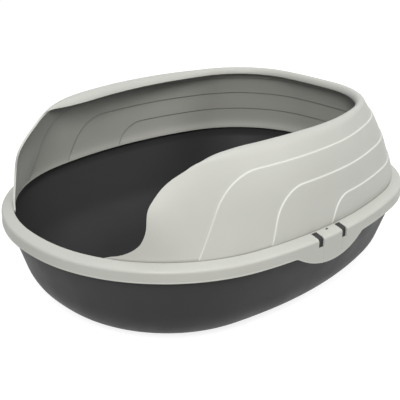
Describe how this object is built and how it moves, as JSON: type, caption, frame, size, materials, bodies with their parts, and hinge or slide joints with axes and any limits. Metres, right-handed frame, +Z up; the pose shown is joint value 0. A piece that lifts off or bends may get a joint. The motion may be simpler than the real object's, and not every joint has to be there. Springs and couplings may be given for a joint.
{
  "type": "cat litter box",
  "caption": "Oval open-top litter box: deep pan, rim frame held by two side latches, and a stepped high hood wall with a low front entry.",
  "frame": {"origin": "under the middle of the oval's bounding box, on the floor", "axes": "+Z up, +Y along the oval towards the tall closed end, so the low entry is at -Y; +X to the right seen from the entry"},
  "size_m": [0.455, 0.5699, 0.2406],
  "materials": {
    "pan_plastic": "satin moulded, dark grey",
    "hood_plastic": "satin moulded, light warm grey"
  },
  "bodies": {
    "pan": {"litter_pan": "pan_plastic"},
    "hood": {"rim_frame": "hood_plastic", "hood_wall": "hood_plastic"},
    "latch_right": {"latch_tab_right": "hood_plastic"},
    "latch_left": {"latch_tab_left": "hood_plastic"}
  },
  "joints": [
    {"name": "hood_lift", "type": "slide", "parent": "pan", "child": "hood", "axis": [0, 0, 1], "range_m": [0, 0.15]},
    {"name": "latch_right_flex", "type": "hinge", "parent": "hood", "child": "latch_right", "pos_m": [0.2135, 0, 0.12845], "axis": [0, -1, 0], "range_deg": [0, 10], "stiffness_Nm_per_rad": 0.4},
    {"name": "latch_left_flex", "type": "hinge", "parent": "hood", "child": "latch_left", "pos_m": [-0.2135, 0, 0.12845], "axis": [0, 1, 0], "range_deg": [0, 10], "stiffness_Nm_per_rad": 0.4}
  ]
}
